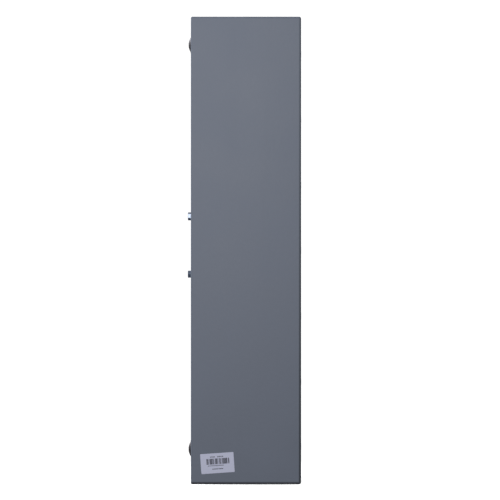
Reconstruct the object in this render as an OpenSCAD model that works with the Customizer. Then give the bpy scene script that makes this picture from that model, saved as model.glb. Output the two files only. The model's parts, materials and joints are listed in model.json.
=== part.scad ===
// Residential load center: a wall-mounted steel box with a main breaker, branch breakers,
// bus bars, neutral and ground bars, a trim cover, a dead front and a hinged door.
// +Z is up, the door faces -Y, and the origin is the middle of the back face.

/* [Box] */
// Outer width, over the two side walls
box_w = 362; // [362:1:420]
// Outer height, over the two end walls
box_h = 417; // [417:1:480]
// Depth, from the back face to the front rim
box_d = 98.4; // [98.4:0.1:120]
// Thickness of the box's sheet steel
wall_t = 1.5; // [1.2:0.1:1.6]
// Outside radius of the side walls' bends
bend_r = 2; // [1.8:0.1:3]
// Depth of the hem folded back inside the front rim
hem_d = 8.4; // [7:0.1:8.6]
// Width of the side walls' welding flanges
flange_w = 15; // [10:1:20]

/* [Cover and door] */
// Thickness of the cover's and the door's sheet steel
cover_t = 1.2; // [1:0.1:1.2]
// How far the cover's face lies behind the rim
cover_in = 1; // [1:0.1:1.2]
// Width of the opening in the cover
open_w = 196; // [196:1:200]
// Depth of the rolled edges of the cover and of the door
edge_d = 8; // [7:0.5:8]
// Gap around the door
door_gap = 1.2; // [1.2:0.1:1.5]

/* [Wall mounting] */
// Distance between the mounting holes across the box
hole_dx = 254; // [240:1:254]
// Distance between the mounting holes up the box
hole_dz = 330; // [320:1:340]
// Diameter of the mounting holes
hole_dia = 7.2; // [6:0.1:7.5]

/* [Breakers] */
// Swing of a handle from on to off, in degrees
throw = 36; // [30:1:36]

/* [Screws] */
// Height of the upper cover screws below the top
cover_screw_top = 25; // [24:0.1:30]
// Height of the lower cover screws above the bottom
cover_screw_bottom = 31.3; // [30:0.1:34]
// Diameter of the cover screws' round heads
dome_dia = 13.6; // [12:0.1:14.4]
// Size across the flats of the small hexagon screws
hex_af = 6.35; // [6:0.05:7]

/* [Hidden] */
$fn = 48;
cut = 0.1;                       // how far a cut runs past the face it opens
run = 0.06;                      // running clearance of a pin in its hole
hw = box_w / 2;
hh = box_h / 2;
back_d = box_d - wall_t;         // inner face of the back wall
plate_x = hw - flange_w - 1;     // half width of the back and the ends between the flanges
lip_x = [plate_x - wall_t, hw - bend_r];

// Cover, from its outer edge inwards; every d is a depth behind the rim
cover_x = hw - 4.5;
cover_z = hh - 4.5;
face_d = [cover_in, cover_in + cover_t];
open_x = open_w / 2;
open_z = [-124, 133];
ledge_w = 8;
ledge_d = [15.2, 15.2 + cover_t];
plate_d = [ledge_d[1], ledge_d[1] + cover_t];
screw_x = hw - 16;
screw_zs = [hh - cover_screw_top, -hh + cover_screw_bottom];

// Radii of the knockouts' shear lines
small_knockout = [11.1, 14.3];
large_knockout = [14.3, 19, 25.4];

// Door and its latch
door_x = [-open_x + 1.5 * door_gap, open_x - door_gap];
door_z = [open_z[0] + door_gap, open_z[1] - door_gap];
hinge_x = door_x[0] + 4;
hinge_d = 4.2;
pin_r = 1.25;
latch_z = [-7.6, 16.4];
bolt_z = [0.4, 8.4];
bolt_d = [4.9, 7.9];
keeper_x = 108;
keeper_zs = [30.6, -21.3];

// Breakers, from the rim backwards
pitch = 25.4;                    // spacing of the poles
rows = 6;
row_z = [for (i = [0:rows - 1]) 27.7 - i * pitch];
pole_w = 25;
nose_x = [22, 60];
nose_d = 12.4;
shoulder_d = 19.4;
floor_d = 71.4;
case_t = 1.6;
pivot_x = 41;
pivot_d = 18.9;
hub_r = 7;
hub_w = 10;
lever_r = 13.5;
lever_t = 5;
axle_r = 1.6;
singles = 6;
// Side and row of each breaker: -1 is the left column; the last one has two poles
place = [[-1, 0], [-1, 1], [-1, 2], [-1, 3], [1, 2], [1, 3], [1, 0]];
poles = [for (p = place) each (p == [1, 0] ? [[1, 0], [1, 1]] : [p])];
// Outline of a case, seen from above, on the right side
case_outline = [[4.5, floor_d], [81, floor_d], [81, 66.2], [77.4, 66.2], [77.4, 63.4], [82, 63.4],
    [82, 38.4], [66, 38.4], [66, shoulder_d], [nose_x[1], shoulder_d], [nose_x[1], nose_d],
    [nose_x[0], nose_d], [nose_x[0], shoulder_d], [4.5, shoulder_d]];

// Main breaker
main_x = 46;
main_z = [46, 142];
main_nose_x = 29.5;
main_nose_z = [64.5, 115.5];
main_pivot_z = 90;
main_hub_w = 28;
lug_x = 22;

// Bus bars, rails and pan
bus_x = 16;
bus_w = 14;
bus_d = [73.4, 76.4];
pan_d = [85.7, 86.9];
pan_x = 88;
pan_z = [-112, 140];
foot_x = 100;
rail_lip_d = [64.2, 65.4];
rail_x = [78, 84.5];
rail_z = [-112, 41];

// Neutral and ground bars
bar_x = [104, 114];
bar_d = [48.4, 59.4];
bar_z = [-125, 72];
bar_step = 8.4;
bar_holes = 19;
strap_z = [-125, -113];
neutral_lug_z = [57, 71];
ground_x = [140, 150];
ground_d = [84.9, 93.9];
ground_z = [-150, -70];
ground_holes = 9;

paint = "#727a88";
black = "#26282b";
zinc = "#b9bfc6";
copper = "#b87a4b";
alum = "#c9ccd0";

// Y of a point at depth d behind the rim
function fy(d) = d - box_d;
function arc(c, r, a0, a1, n = 6) =
    [for (i = [0:n]) c + r * [cos(a0 + (a1 - a0) * i / n), sin(a0 + (a1 - a0) * i / n)]];
function ring(r, n = 28) = [for (i = [0:n - 1]) r * [cos(360 * i / n), sin(360 * i / n)]];
function swap(pts) = [for (p = pts) [p[1], p[0]]];
// Outline of a block from u[0] to u[1] whose two front corners are rounded
function front_round(u, d, r) = concat(
    [[u[1], d[1]], [u[0], d[1]]],
    arc([u[0] + r, d[0] + r], r, 180, 270),
    arc([u[1] - r, d[0] + r], r, 270, 360)
);
function grow(u, by) = [u[0] - by, u[1] + by];
function about(c, half) = [c - half, c + half];

module slab(x, d, z) {
    translate([x[0], fy(d[0]), z[0]]) cube([x[1] - x[0], d[1] - d[0], z[1] - z[0]]);
}
// Rod along Y, from depth d[0] to depth d[1]
module rod(x, z, r, d) {
    translate([x, fy(d[0]), z]) rotate([-90, 0, 0]) cylinder(r = r, h = d[1] - d[0]);
}
// Rod along Z through the point (x, d)
module post(x, d, r, z) {
    translate([x, fy(d), z[0]]) cylinder(r = r, h = z[1] - z[0]);
}
// Rod along X through the point (d, z)
module axle(d, z, r, x) {
    translate([x[0], fy(d), z]) rotate([0, 90, 0]) cylinder(r = r, h = x[1] - x[0]);
}
// Outlines: (x, d) pushed along Z, (x, z) pushed along Y, (d, z) pushed along X
module along_z(z) {
    translate([0, -box_d, z[0]]) linear_extrude(z[1] - z[0]) children();
}
module along_y(d) {
    translate([0, fy(d[1]), 0]) rotate([90, 0, 0]) linear_extrude(d[1] - d[0]) children();
}
module along_x(x) {
    translate([x[0], -box_d, 0]) rotate([90, 0, 90]) linear_extrude(x[1] - x[0]) children();
}
module both_sides() {
    children();
    mirror([1, 0, 0]) children();
}
module on_side(side) {
    if (side < 0) mirror([1, 0, 0]) children();
    else children();
}
// Block whose front edges are rounded: the outside or the inside of a formed pan
module pan_block(x, d, z, r) {
    intersection() {
        along_z(z) polygon(front_round(x, d, r));
        along_x(x) polygon(swap(front_round(z, d, r)));
    }
}
// Concentric shear lines of a knockout, each left joined by two small bridges
module knockout_lines(radii) {
    line_w = 0.5;
    bridge_w = 2.4;
    for (i = [0:len(radii) - 1]) difference() {
        polygon(ring(radii[i] + line_w / 2));
        polygon(ring(radii[i] - line_w / 2));
        rotate(90 * i) square([3 * radii[i], bridge_w], center = true);
    }
}

// ---- Box: the side walls' flanges lap over joggled lips of the back and of the ends, flush outside

module back_wall() {
    edge = swap(concat([[hh, back_d], [-hh, back_d]],
        arc([-hh + wall_t, back_d], wall_t, 180, 90),
        arc([hh - wall_t, back_d], wall_t, 90, 0)));
    color(paint) difference() {
        union() {
            along_x([-plate_x, plate_x]) polygon(edge);
            both_sides() slab(lip_x, [back_d - wall_t, back_d], about(0, hh - 2 * wall_t));
        }
        for (sx = [-1, 1], sz = [-1, 1]) {
            rod(sx * hole_dx / 2, sz * hole_dz / 2, hole_dia / 2, [back_d - cut, box_d + cut]);
            rod(sx * 94, sz * 95, 2 + run, [back_d - cut, box_d + cut]);
        }
        for (sx = [-1, 1]) translate([sx * 62, 0, -160]) along_y([back_d - cut, box_d + cut])
            knockout_lines(small_knockout);
        translate([0, 0, -160]) along_y([back_d - cut, box_d + cut]) knockout_lines(large_knockout);
        translate([0, 0, 168]) along_y([back_d - cut, box_d + cut])
            polygon(concat(arc([0, 0], 6.5, -240, 60, 16), arc([0, 12], 3.25, 0, 180)));
    }
}

// The right side wall: a pan with a folded front hem and three inward flanges
module side_wall() {
    z = hh;
    x_in = hw - flange_w;
    in_r = bend_r - wall_t;
    bend_d = box_d - bend_r;
    outside = concat([[x_in, -1], [hw, -1]],
        arc([hw - bend_r, bend_d], bend_r, 0, 90), [[x_in, box_d]]);
    flat = concat(arc([wall_t, wall_t - z], wall_t, 180, 270), arc([bend_d, bend_r - z], bend_r, 270, 360),
        arc([bend_d, z - bend_r], bend_r, 0, 90), arc([wall_t, z - wall_t], wall_t, 90, 180));
    rolled = concat(
        arc([hw - wall_t, wall_t], wall_t, 180, 360, 8),
        arc([hw - bend_r, bend_d], bend_r, 0, 90),
        [[x_in, box_d], [x_in, back_d]],
        arc([hw - bend_r, bend_d], in_r, 90, 0),
        [[hw - wall_t, hem_d], [hw - 2 * wall_t, hem_d]]
    );
    face = concat([[x_in - 1, z], [x_in - 1, -z]],
        arc([hw - bend_r, -z + bend_r], bend_r, -90, 0), arc([hw - bend_r, z - bend_r], bend_r, 0, 90));
    flange = concat(
        arc([hw - bend_r, z - bend_r], bend_r, 0, 90),
        [[x_in, z], [x_in, z - wall_t]],
        arc([hw - bend_r, z - bend_r], in_r, 90, 0)
    );
    color(paint) intersection() {
        union() {
            intersection() {
                along_z([-z, z]) polygon(rolled);
                along_y([-1, box_d]) polygon(face);
            }
            for (s = [0, 1]) mirror([0, 0, s]) intersection() {
                along_y([hem_d + 1, box_d]) polygon(flange);
                along_z([0, z]) polygon(outside);
            }
        }
        along_x([x_in - 1, hw + 1]) polygon(flat);
    }
}

// The top wall; the bottom one is its mirror image
module end_wall() {
    z = hh - wall_t;
    hem_x = hw - 3.5;
    hem = concat(
        arc([wall_t, z], wall_t, 90, 270, 8),
        [[hem_d, z - wall_t], [hem_d, hh]]
    );
    color(paint) difference() {
        union() {
            along_x([-hem_x, hem_x]) polygon(hem);
            slab([-plate_x, plate_x], [hem_d - 1, back_d], [z, hh]);
            both_sides() slab(lip_x, [hem_d + 1, back_d], [z - wall_t, z]);
            both_sides() slab([lip_x[0], hem_x], [hem_d - 1, hem_d + 2], [z - wall_t, z]);
            slab([1 - lip_x[0], lip_x[0] - 1], [back_d - wall_t, back_d], [z - 16, z + cut]);
        }
        for (k = [-2, -1, 1, 2]) translate([k * 62, fy(50), z - cut]) linear_extrude(wall_t + 2 * cut)
            knockout_lines(small_knockout);
        translate([0, fy(50), z - cut]) linear_extrude(wall_t + 2 * cut) knockout_lines(large_knockout);
    }
}

// Angle bracket behind each cover screw, welded inside the side wall
module trim_brackets() {
    half = 12;
    leg = [2.4, 3.9];
    shape = [[hw - 29, leg[0]], [hw - 7.5, leg[0]], [hw - 7.5, 9.9], [hw - wall_t, 9.9],
        [hw - wall_t, 33.4], [hw - 2 * wall_t, 33.4], [hw - 2 * wall_t, 11.4], [hw - 9, 11.4],
        [hw - 9, leg[1]], [hw - 29, leg[1]]];
    color(paint) for (z = screw_zs) both_sides() difference() {
        union() {
            along_z(about(z, half)) polygon(shape);
            rod(screw_x, z, 4, [leg[0] + 1, 8]);
        }
        rod(screw_x, z, axle_r + run, [leg[0] - cut, 8 + cut]);
    }
}

// ---- Interior

module interior_pan() {
    foot = [back_d - wall_t, back_d];
    half = [[0, pan_d[0]], [pan_x, pan_d[0]], [pan_x, foot[0]], [foot_x, foot[0]], [foot_x, foot[1]],
        [pan_x - cover_t, foot[1]], [pan_x - cover_t, pan_d[1]], [0, pan_d[1]]];
    whole = concat(half, [for (i = [len(half) - 2:-1:1]) [-half[i][0], half[i][1]]]);
    color(zinc) difference() {
        along_z(pan_z) polygon(whole);
        for (sx = [-1, 1]) {
            for (z = [-95, 95]) rod(sx * 94, z, 2 + run, grow(foot, cut));
            for (z = [52, 132]) rod(sx * 51, z, 2 + run, grow(pan_d, cut));
        }
    }
}

// Hexagon-head screw along Y: the head's seat is at depth d[0], the point at d[1]
module hex_screw(x, z, r, d, af, head_h, turn = 0) {
    translate([x, fy(d[0]), z]) {
        rotate([-90, 0, 0]) cylinder(r = r, h = d[1] - d[0]);
        rotate([90, 0, 0]) rotate(turn) cylinder(r = af / 2 / cos(30), h = head_h, $fn = 6);
    }
}
// Round slotted screw along Y
module slot_screw(x, z, r, d, head_r, head_h) {
    difference() {
        union() {
            rod(x, z, r, d);
            rod(x, z, head_r, [d[0] - head_h, d[0]]);
        }
        slab(about(x, head_r), [d[0] - head_h - cut, d[0] - head_h / 2], about(z, 0.6));
    }
}

module mounting_screws() {
    color(zinc) for (sx = [-1, 1]) {
        for (z = [-95, 95]) hex_screw(sx * 94, z, 2, [back_d - wall_t, box_d - 0.2], 7, 2.5);
        for (z = [52, 132]) hex_screw(sx * 51, z, 2, [83.7, pan_d[1] + 3], 7, 2.5);
    }
}

module bus_insulator() {
    x = 32;
    z = [-111, 66];
    color(black) difference() {
        slab([-x, x], [bus_d[1], pan_d[0]], z);
        for (i = [0:rows - 1]) both_sides()
            slab([25.5, x + cut], [bus_d[1] + 2, pan_d[0] - 2], about(row_z[i], 9));
        for (s = [-1, 1], sz = [-105, 58])
            rod(s * bus_x, sz, 2.5 + run, [bus_d[1] - cut, pan_d[0] - 1]);
    }
}

// One line bus bar: side is its side of the middle, first is the first row that it feeds
module line_bus(side, first) {
    thick = 1.25;
    reach = 13;
    color(copper) on_side(side) difference() {
        union() {
            slab(about(bus_x, bus_w / 2), bus_d, [-110, 65]);
            for (i = [first:2:rows - 1]) {
                slab([-6, bus_x - bus_w / 2 + cut], bus_d, about(row_z[i], 7));
                slab([-6, 6], [bus_d[0] - 3, bus_d[0] + cut], about(row_z[i], thick));
                slab([-reach, reach], [52.4, bus_d[0] - 1.9], about(row_z[i], thick));
            }
        }
        for (z = [-105, 58]) rod(bus_x, z, 2.5 + run, grow(bus_d, cut));
    }
}

module bus_screws() {
    color(zinc) both_sides() {
        slot_screw(bus_x, -105, 2.5, [bus_d[0], pan_d[0] - 1.5], 4.2, 2.4);
        slot_screw(bus_x, 58, 2.5, [bus_d[0] - 1.8, pan_d[0] - 1.5], 4.2, 2.4);
    }
}

module breaker_rail() {
    t = 1.2;
    shape = [[rail_x[0], rail_lip_d[0]], [rail_x[1], rail_lip_d[0]], [rail_x[1], pan_d[0]],
        [rail_x[0], pan_d[0]], [rail_x[0], pan_d[0] - t], [rail_x[1] - t, pan_d[0] - t],
        [rail_x[1] - t, rail_lip_d[1]], [rail_x[0], rail_lip_d[1]]];
    color(zinc) along_z(rail_z) polygon(shape);
}

// Terminal bar: wire holes across it and screw holes in its front
function bar_hole_z(i) = -105 + i * bar_step;
module neutral_bar() {
    mid = (bar_x[0] + bar_x[1]) / 2;
    color(alum) difference() {
        slab(bar_x, bar_d, bar_z);
        for (i = [0:bar_holes - 1]) {
            translate([bar_x[0] - 1, fy(54), bar_hole_z(i)]) rotate([0, 90, 0])
                cylinder(r = 2.7, h = 12, $fn = 8);
            rod(mid, bar_hole_z(i), 2.2 + run, [bar_d[0] - cut, 53]);
        }
    }
}
module ground_bar() {
    mid = (ground_x[0] + ground_x[1]) / 2;
    color(alum) difference() {
        union() {
            slab(ground_x, ground_d, ground_z);
            for (z = ground_z) slab(ground_x, [ground_d[1] - 1, back_d], about(z + (z < -100 ? 6 : -6), 6));
        }
        for (i = [0:ground_holes - 1]) {
            translate([ground_x[0] - 1, fy(90.2), ground_z[0] + 6 + i * bar_step]) rotate([0, 90, 0])
                cylinder(r = 2.7, h = 12, $fn = 8);
            rod(mid, ground_z[0] + 6 + i * bar_step, 2.2 + run, [ground_d[0] - cut, 89.5]);
        }
    }
}
module bar_screws() {
    mid = (bar_x[0] + bar_x[1]) / 2;
    ground_mid = (ground_x[0] + ground_x[1]) / 2;
    color(zinc) {
        for (i = [0:bar_holes - 1]) both_sides()
            slot_screw(mid, bar_hole_z(i), 2.2, [bar_d[0], 51.6], 3.2, 1.6);
        for (i = [0:ground_holes - 1])
            slot_screw(ground_mid, ground_z[0] + 6 + i * bar_step, 2.2, [ground_d[0], 88], 3.2, 1.6);
    }
}
module neutral_strap() {
    color(alum) difference() {
        slab([-bar_x[1], bar_x[1]], [bar_d[1], bar_d[1] + 1.6], strap_z);
        rod(92, -119, 2 + run, grow([bar_d[1], bar_d[1] + 1.6], cut));
    }
}
module bonding_screw() {
    color("#2f7d46") hex_screw(92, -119, 2, [bar_d[1], back_d - 0.05], 8, 3);
}
// Box lug with a wire way along Z and a set screw hole in its front
module box_lug(x, d, z) {
    difference() {
        slab(x, d, z);
        translate([(x[0] + x[1]) / 2, fy((d[0] + d[1]) / 2 + 1), z[0] - 1])
            cylinder(r = 6, h = z[1] - z[0] + 2, $fn = 8);
        rod((x[0] + x[1]) / 2, (z[0] + z[1]) / 2, 4 + run, [d[0] - cut, (d[0] + d[1]) / 2]);
    }
}
module neutral_lug() {
    color(alum) box_lug([-117, -101], [28.4, 48.4], neutral_lug_z);
}
module lug_set_screws() {
    color(zinc) {
        set_screw(-109, 64, [24.4, 31.9]);
        both_sides() set_screw(lug_x, 130, [35, 42.5]);
    }
}
// Headless screw with a square socket
module set_screw(x, z, d) {
    difference() {
        rod(x, z, 4, d);
        slab(about(x, 1.8), [d[0] - cut, d[0] + 3], about(z, 1.8));
    }
}
module neutral_standoffs() {
    color(black) for (z = [-115, 60]) both_sides() {
        slab([105, 113], [z < 0 ? bar_d[1] + 1.6 : bar_d[1], back_d - 4], about(z, 4));
        slab([102, 116], [back_d - 4, back_d], about(z, 7));
    }
}

// ---- Main breaker

module main_case() {
    rib_x = [main_hub_w / 2 + 0.9, main_hub_w / 2 + 4.9];
    rib_z = about(main_pivot_z, 10);
    slot_z = about(main_pivot_z, lever_t + 0.2);
    color(black) difference() {
        union() {
            difference() {
                union() {
                    slab([-main_x, main_x], [shoulder_d, floor_d], main_z);
                    slab([-main_nose_x, main_nose_x], [nose_d, shoulder_d + 1], main_nose_z);
                }
                slab(about(0, main_x - case_t), [shoulder_d + case_t, floor_d - case_t],
                    [main_z[0] + case_t, 118]);
                slab(about(0, main_nose_x - case_t), [nose_d + case_t, shoulder_d + 2],
                    grow(main_nose_z, -case_t));
            }
            both_sides() slab(rib_x, [nose_d + 1, 28], rib_z);
            both_sides() for (z = [46, 126]) {
                slab([36, main_x], [floor_d - 1, pan_d[0]], [z, z + 12]);
                slab([36, 56], [83.7, pan_d[0]], [z, z + 12]);
            }
        }
        both_sides() slab([9, 35], [shoulder_d - cut, 60], [120, main_z[1] + cut]);
        both_sides() slab(about(bus_x, 5.4), [41.6, 45.4], [117, 121]);
        slab([-28, 28], [floor_d - case_t - cut, floor_d + cut], [main_z[0] + case_t, 70]);
        slab(about(0, main_hub_w / 2 + 0.4), [nose_d - cut, nose_d + case_t + cut], slot_z);
        both_sides() axle(pivot_d, main_pivot_z, axle_r + run, grow(rib_x, cut));
        both_sides() for (z = [52, 132]) rod(51, z, 2 + run, [83.7 - cut, pan_d[0] + cut]);
    }
}
module main_line_lugs() {
    color(alum) both_sides() box_lug(about(lug_x, 9), [38, 60], [122, 138]);
}
module main_load_straps() {
    color(copper) both_sides() difference() {
        union() {
            slab(about(bus_x, 5), [47.2, bus_d[0]], [66, 69]);
            slab(about(bus_x, 5), [47.2, 49.2], [66, 80]);
            slab(about(bus_x, 6), [bus_d[0] - 1.8, bus_d[0]], [50, 69]);
        }
        rod(bus_x, 58, 2.5 + run, grow([bus_d[0] - 1.8, bus_d[0]], cut));
    }
}

// Outline of a handle about its pivot, its lever pointing to -d
function lever_outline() = concat(
    arc([0, 0], hub_r, -69, 249, 24),
    [[-lever_t / 2, -lever_r + lever_t / 2]],
    arc([0, -lever_r + lever_t / 2], lever_t / 2, 180, 360),
    [[lever_t / 2, -lever_r + lever_t / 2]]
);
// A handle along its own pivot axis, tilted to the on side
module toggle(width) {
    color(black) union() {
        translate([0, 0, -width / 2]) linear_extrude(width) rotate(-throw / 2) polygon(lever_outline());
        translate([0, 0, -width / 2 - 4.5]) cylinder(r = axle_r, h = width + 9);
    }
}
module main_handle() {
    translate([0, fy(pivot_d), main_pivot_z]) rotate([0, 90, 0]) mirror([0, 0, 1])
        toggle(main_hub_w);
}

// ---- Branch breakers

// The hollow of one pole, its slots and its terminal pocket
module pole_hollow(z) {
    half = pole_w / 2 - case_t;
    boss_z = [5.8, half + cut];
    difference() {
        union() {
            slab([6.1, 64.4], [shoulder_d + case_t, floor_d - case_t], about(z, half));
            slab(grow(nose_x, -case_t), [nose_d + case_t, shoulder_d + 3], about(z, half));
        }
        for (s = [0, 1]) translate([0, 0, z]) mirror([0, 0, s]) post(pivot_x, pivot_d, 3.4, boss_z);
    }
    for (s = [0, 1]) translate([0, 0, z]) mirror([0, 0, s])
        post(pivot_x, pivot_d, axle_r + run, [boss_z[0] - cut, 9.9]);
    slab(about(pivot_x, lever_t + 0.2), [nose_d - cut, nose_d + case_t + cut], about(z, hub_w / 2 + 0.4));
    slab([4.4, 15.5], [45.4, floor_d + cut], about(z, 1.75));
    slab([67.5, 82 + cut], [40, 54], about(z, 6));
    slab([70, 78], [38.3, 40.1], about(z, 4));
}
module case_body(side, z_low, z_high, pole_zs) {
    color(black) on_side(side) difference() {
        along_z([z_low, z_high]) polygon(case_outline);
        for (z = pole_zs) pole_hollow(z);
    }
}
module breaker_case(n) {
    side = place[n - 1][0];
    row = place[n - 1][1];
    last = n > singles ? row + 1 : row;
    zs = [for (i = [row:last]) row_z[i]];
    case_body(side, row_z[last] - pole_w / 2, row_z[row] + pole_w / 2, zs);
}
module breaker_handle(n) {
    side = place[n - 1][0];
    row = place[n - 1][1];
    on_side(side) translate([pivot_x, fy(pivot_d), row_z[row]]) {
        toggle(hub_w);
        if (n > singles) {
            translate([0, 0, -pitch]) toggle(hub_w);
            color(black) rotate(-throw / 2) translate([-lever_t / 2, -lever_r + 0.5, -pitch])
                cube([lever_t, 3.5, pitch]);
        }
    }
}
// One child in each pole
module each_pole() {
    for (p = poles) on_side(p[0]) translate([0, 0, row_z[p[1]]]) children();
}
module branch_terminals() {
    color(zinc) each_pole() difference() {
        slab([68.5, 79.5], [41, 53.5], [-5.5, 5.5]);
        slab([68, 80], [45.5, 52], [-3.8, 3.8]);
        rod(74, 0, 2.6 + run, [40.9, 45.6]);
    }
}
module branch_terminal_screws() {
    color(zinc) each_pole() slot_screw(74, 0, 2.6, [40.9, 48], 3.6, 1.9);
}
module branch_jaws() {
    color(copper) each_pole() {
        for (s = [0, 1]) mirror([0, 0, s]) slab([7, 17], [50, 68], [1.3, 2.1]);
        slab([16, 17.2], [50, 68], [-2.1, 2.1]);
    }
}
// The moving contact arm of every pole, closed on its fixed contact
module contact_arms() {
    color(copper) {
        each_pole() union() {
            slab([18, 50], [40, 42], [-2.5, 2.5]);
            slab([18, 22], [42 - cut, 44.5], [-2.5, 2.5]);
        }
        both_sides() union() {
            slab(about(bus_x, 5), [42, 45], [70, 121.9]);
            slab(about(bus_x, 4), [45 - cut, 47], [72, 80]);
        }
    }
}
module branch_bimetals() {
    color("#9a8f7d") each_pole() slab([55, 56.2], [30, 62], [-3, 3]);
}
module branch_arc_chutes() {
    color(zinc) each_pole() union() {
        for (k = [0:4]) slab([24, 38], [48 + 3.6 * k, 49.2 + 3.6 * k], [-8, 8]);
        slab([37, 38], [48, 63.6], [-8, 8]);
    }
}

// ---- Cover, dead front and latch keeper

module trim_cover() {
    bend = 1.6;
    funnel_x = open_x + cover_t;
    funnel_z = grow(open_z, cover_t);
    color(paint) difference() {
        union() {
            difference() {
                pan_block([-cover_x, cover_x], [face_d[0], face_d[0] + edge_d], [-cover_z, cover_z], bend);
                pan_block(about(0, cover_x - cover_t), [face_d[1], 20], about(0, cover_z - cover_t),
                    bend - cover_t);
            }
            slab([-funnel_x, funnel_x], [face_d[0], ledge_d[1]], funnel_z);
        }
        slab([-open_x, open_x], [0, ledge_d[0]], open_z);
        slab(about(0, open_x - ledge_w), [0, ledge_d[1] + cut], grow(open_z, -ledge_w));
        for (z = screw_zs) both_sides() rod(screw_x, z, 2.1, grow(face_d, cut));
        for (z = keeper_zs) rod(keeper_x, z, 2.1, grow(face_d, cut));
        slab([open_x - cut, funnel_x + cut], [4.4, 9.9], grow(bolt_z, 4.5));
        post(hinge_x, hinge_d, pin_r + run, grow(open_z, 4));
        for (sx = [-1, 1], z = [-100, 110]) rod(sx * 94, z, 1.7, grow(ledge_d, cut));
    }
}

module deadfront() {
    gap = 0.5;
    window = [nose_x[0] - gap, nose_x[1] + gap];
    color(paint) difference() {
        slab(about(0, open_x - gap), plate_d, grow(open_z, -gap));
        both_sides() slab(window, grow(plate_d, cut),
            [row_z[3] - pole_w / 2 - gap, row_z[0] + pole_w / 2 + gap]);
        slab(about(0, main_nose_x + gap), grow(plate_d, cut), grow(main_nose_z, gap));
        for (i = [4:rows - 1]) both_sides() twist_out_line(window, about(row_z[i], 11.5));
        for (sx = [-1, 1], z = [-100, 110]) rod(sx * 94, z, 1.4 + run, grow(plate_d, cut));
    }
}
// Shear line around an unused breaker space, left joined at the middle of two sides
module twist_out_line(x, z) {
    line = 0.6;
    bridge = 3;
    mid = (x[0] + x[1]) / 2;
    difference() {
        slab(x, grow(plate_d, cut), z);
        slab(grow(x, -line), grow(plate_d, 2 * cut), grow(z, -line));
        slab(about(mid, bridge / 2), grow(plate_d, 2 * cut), grow(z, 1));
    }
}
module deadfront_screws() {
    color(zinc) for (sx = [-1, 1], z = [-100, 110])
        slot_screw(sx * 94, z, 1.4, [ledge_d[0], plate_d[1] + 3], 2.8, 1.8);
}

// Round-headed cover screw with a cross recess, turned as its driver left it
module cover_screw(x, z, turn) {
    rim = 1;
    dome = 2.1;
    r = dome_dia / 2;
    big_r = (r * r + dome * dome) / (2 * dome);
    reach = asin(r / big_r);
    head = concat(
        [[0, 0], [r, 0]],
        [for (a = [reach:-reach / 8:reach / 16]) [big_r * sin(a), rim + dome - big_r * (1 - cos(a))]],
        [[0, rim + dome]]
    );
    translate([x, fy(face_d[0]), z]) difference() {
        union() {
            rotate([90, 0, 0]) rotate_extrude() polygon(head);
            rotate([-90, 0, 0]) cylinder(r = axle_r, h = 11);
        }
        for (a = [0, 90]) rotate([0, turn + a, 0]) translate([-3.2, -rim - dome - 1, -0.6])
            cube([6.4, 2.4, 1.2]);
    }
}
module cover_screws() {
    color("#4c4d55") for (k = [0, 1], sx = [-1, 1])
        cover_screw(sx * screw_x, screw_zs[k], 35 + 20 * k + 12 * sx);
}

module latch_keeper() {
    x = open_x + cover_t + 0.2;
    leg_d = [face_d[1], face_d[1] + wall_t];
    color(zinc) difference() {
        union() {
            slab([x, 116], leg_d, [-30, 40]);
            slab([x, x + cover_t], [leg_d[0], 14.4], [-30, 40]);
        }
        slab(grow([x, x + cover_t], cut), [4.4, 8.6], grow(bolt_z, 1.2));
        for (z = keeper_zs) rod(keeper_x, z, 1.9 + run, grow(leg_d, cut));
    }
}
module keeper_screws() {
    washer_t = 0.8;
    head_h = 3.25;
    turn = [38, 0];
    color(zinc) for (k = [0, 1]) union() {
        hex_screw(keeper_x, keeper_zs[k], 1.9, [face_d[0] - washer_t, 9], hex_af, head_h, turn[k]);
        rod(keeper_x, keeper_zs[k], 4.2, [face_d[0] - washer_t, face_d[0]]);
    }
}
module door_bumpers() {
    color(black) for (z = [-70, 70]) rod(open_x - 3, z, 2.4, [face_d[0] + edge_d + 0.1, ledge_d[0]]);
}

// ---- Door and latch

module door_panel() {
    bend = 1.6;
    color(paint) difference() {
        pan_block(door_x, [face_d[0], face_d[0] + edge_d], door_z, bend);
        pan_block(grow(door_x, -cover_t), [face_d[1], 20], grow(door_z, -cover_t), bend - cover_t);
        slab([66.6, 93.4], grow(face_d, cut), grow(latch_z, 0.4));
        slab([door_x[1] - cover_t - cut, door_x[1] + cut], grow(bolt_d, 0.6), grow(bolt_z, 0.6));
        post(hinge_x, hinge_d, pin_r + run, grow(door_z, 1));
    }
}
// Two pins with flat heads inside the door, each in a hole of the cover
module hinge_pins() {
    z = door_z;
    color(zinc) {
        union() {
            post(hinge_x, hinge_d, pin_r, [z[1] - 3.2, z[1] + 5]);
            post(hinge_x, hinge_d, 1.9, [z[1] - 3.2, z[1] - cover_t]);
        }
        union() {
            post(hinge_x, hinge_d, pin_r, [z[0] - 5, z[0] + 3.2]);
            post(hinge_x, hinge_d, 1.9, [z[0] + cover_t, z[0] + 3.2]);
        }
    }
}
module latch_housing() {
    color(black) difference() {
        union() {
            slab([67, 93], [0.2, 10], latch_z);
            pan_block([65, 94.5], [0.2, face_d[0]], grow(latch_z, 2), 0.6);
        }
        slab([69, 91], [0, 8.4], grow(latch_z, -2));
        slab([90, 94], [4.5, 8.3], [0, 8.8]);
    }
}
module latch_slide() {
    color(black) difference() {
        union() {
            slab([71, 82], [0.6, 7.4], grow(latch_z, -3));
            slab([81, 96.7], bolt_d, bolt_z);
        }
        for (k = [-1, 0, 1]) slab(about(76.5 + 3 * k, 0.7), [0.5, 1.6], latch_z);
    }
}
module directory_card() {
    color("#e8e6dc") slab([-62, 58], [face_d[1], face_d[1] + 0.3], [-75, 105]);
}
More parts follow.
